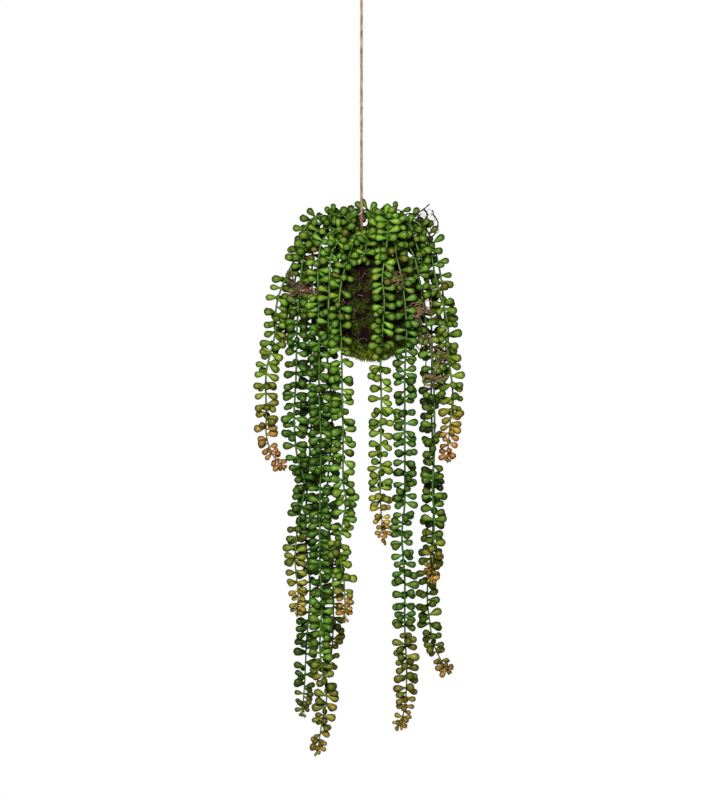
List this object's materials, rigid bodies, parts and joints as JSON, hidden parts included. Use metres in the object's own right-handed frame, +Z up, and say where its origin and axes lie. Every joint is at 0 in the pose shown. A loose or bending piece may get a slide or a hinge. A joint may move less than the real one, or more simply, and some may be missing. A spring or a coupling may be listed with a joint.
{
  "type": "hanging senecio in a moss ball",
  "caption": "Trailing leafy succulent rooted in a round moss ball, with long stems of club-shaped leaves, dry root sprigs and a jute twine with a loop to hang it by.",
  "frame": {"origin": "inside of the hanging loop's top, where a hook carries the plant", "axes": "+Z up along the twine, +X to the right and -Y towards the viewer of the picture"},
  "size_m": [0.2229, 0.1475, 0.8658],
  "materials": {
    "leaf": "satin",
    "moss": "matte",
    "jute": "matte",
    "dry_root": "matte",
    "rusty_wire": "matte"
  },
  "bodies": {
    "root": {"moss_ball": "moss", "hanger_wire": "rusty_wire", "foot_knot": "jute", "hanging_twine": "jute", "hanging_loop": "jute", "sprig_top_right": "dry_root", "sprig_left": "dry_root", "sprig_front": "dry_root", "sprig_right": "dry_root", "sprig_low_right": "dry_root", "sprig_back": "dry_root", "stem_far_left": "leaf", "stem_left": "leaf", "stem_left_back": "leaf", "stem_left_front": "leaf", "stem_centre_back": "leaf", "stem_front_left": "leaf", "stem_front_right": "leaf", "stem_right_front": "leaf", "stem_right_inner": "leaf", "stem_right_back": "leaf", "stem_far_right": "leaf", "stem_short_left": "leaf", "stem_short_front": "leaf", "stem_short_crown": "leaf", "stem_short_top": "leaf", "stem_short_back_left": "leaf", "stem_short_back": "leaf", "stem_short_back_right": "leaf", "stem_short_right": "leaf", "stem_short_right_top": "leaf", "stem_short_front_right": "leaf", "stem_short_right_front": "leaf"}
  },
  "joints": []
}
